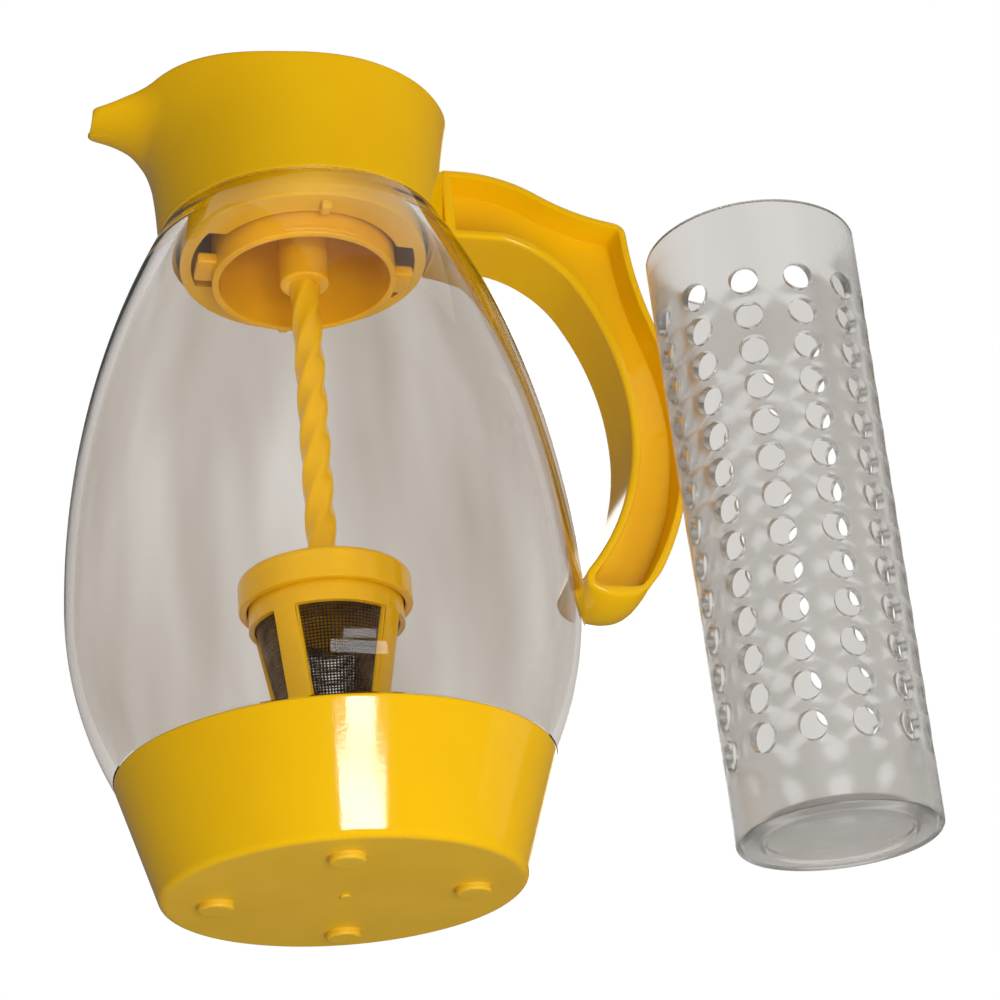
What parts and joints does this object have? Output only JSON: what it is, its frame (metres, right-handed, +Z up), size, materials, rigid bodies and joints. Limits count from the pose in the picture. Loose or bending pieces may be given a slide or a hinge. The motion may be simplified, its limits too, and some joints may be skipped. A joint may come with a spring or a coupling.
{
  "type": "pitcher with ice core",
  "caption": "Clear round-bellied drinks pitcher with a base cup, spouted collar, side handle, turn-lock lid with a tea basket on a twisted rod, and a perforated core tube beside it.",
  "frame": {"origin": "on the pitcher's axis, in the plane of the feet it stands on", "axes": "+Z up along the pitcher's axis, +X towards the handle, -X towards the spout"},
  "size_m": [0.2324, 0.1584, 0.2542],
  "materials": {
    "clear_plastic": "clear gloss",
    "yellow_plastic": "gloss",
    "seal_rubber": "matte",
    "steel_mesh": "woven mesh"
  },
  "bodies": {
    "pitcher": {"clear_body": "clear_plastic", "base_cup": "yellow_plastic", "pour_collar": "yellow_plastic", "handle": "yellow_plastic", "neck_seal": "seal_rubber"},
    "seal": {"lid_seal": "seal_rubber"},
    "lid": {"lid": "yellow_plastic", "twist_rod": "yellow_plastic", "basket_cap": "yellow_plastic"},
    "basket": {"basket_frame": "yellow_plastic", "basket_mesh": "steel_mesh"},
    "core": {"ice_core": "clear_plastic"}
  },
  "joints": [
    {"name": "lid_lift", "type": "slide", "parent": "pitcher", "child": "seal", "axis": [0, 0, 1], "range_m": [0, 0.225]},
    {"name": "lid_turn", "type": "hinge", "parent": "seal", "child": "lid", "pos_m": [0, 0, 0.24], "axis": [0, 0, 1], "range_deg": [0, 70]},
    {"name": "basket_pull", "type": "slide", "parent": "lid", "child": "basket", "axis": [0, 0, 1], "range_m": [-0.02, 0]},
    {"name": "core_lift", "type": "slide", "parent": "pitcher", "child": "core", "axis": [0, 0, 1], "range_m": [0, 0.26]}
  ]
}
